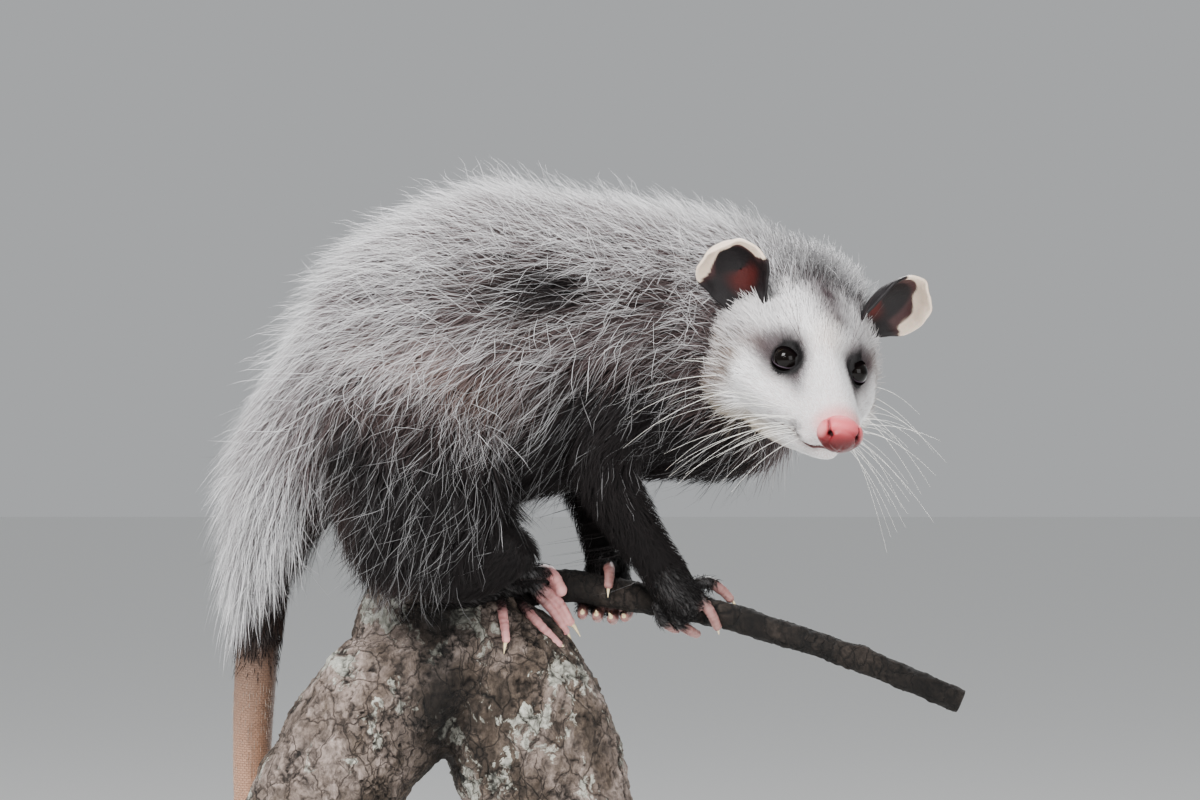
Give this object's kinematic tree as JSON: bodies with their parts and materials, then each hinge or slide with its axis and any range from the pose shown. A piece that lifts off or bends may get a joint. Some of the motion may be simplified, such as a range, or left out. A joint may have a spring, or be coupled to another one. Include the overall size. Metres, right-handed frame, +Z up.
{
  "type": "opossum model on a branch",
  "caption": "Life-size Virginia opossum, standing on a cut forked limb and gripping its side branch, on a flat base with two rods.",
  "frame": {"origin": "middle of the stand base's underside", "axes": "+Z up, +X towards the chest end of the body, -Y towards the animal's right side, which the head turns towards"},
  "size_m": [0.3454, 0.1881, 0.4236],
  "materials": {
    "guard_coat": "long grizzled grey coat, white guard hairs over dark underfur",
    "dark_coat": "short blackish fur",
    "face_coat": "short soft white fur",
    "nose_skin": "moist bare pink skin",
    "ear_skin": "thin bare black skin with a cream rim",
    "eye": "wet, dark and glossy",
    "paw_skin": "pink-brown bare skin with pale horn claws",
    "tail_skin": "fine rings of small tan scales with sparse hairs",
    "bark": "rough grey-brown bark with pale lichen",
    "base": "satin black stained wood",
    "rod": "satin black steel"
  },
  "bodies": {
    "root": {"stand_base": "base", "stand_rod_left": "rod", "stand_rod_right": "rod", "perch_limb_right": "bark", "perch_limb_left": "bark", "perch_branch": "bark", "head": "face_coat", "jaw": "face_coat", "nose": "nose_skin", "eye_left": "eye", "eye_right": "eye", "ear_left": "ear_skin", "ear_right": "ear_skin", "hand_right": "paw_skin", "hand_left": "paw_skin", "foot_right": "paw_skin", "foot_left": "paw_skin", "shank_right": "dark_coat", "shank_left": "dark_coat", "tail_base": "dark_coat", "tail_middle": "tail_skin", "tail_tip": "tail_skin", "haunch_right": "guard_coat", "haunch_left": "guard_coat", "upper_arm_right": "dark_coat", "forearm_right": "dark_coat", "upper_arm_left": "dark_coat", "forearm_left": "dark_coat", "rump": "guard_coat", "loin": "guard_coat", "chest": "guard_coat", "neck": "guard_coat"}
  },
  "joints": []
}
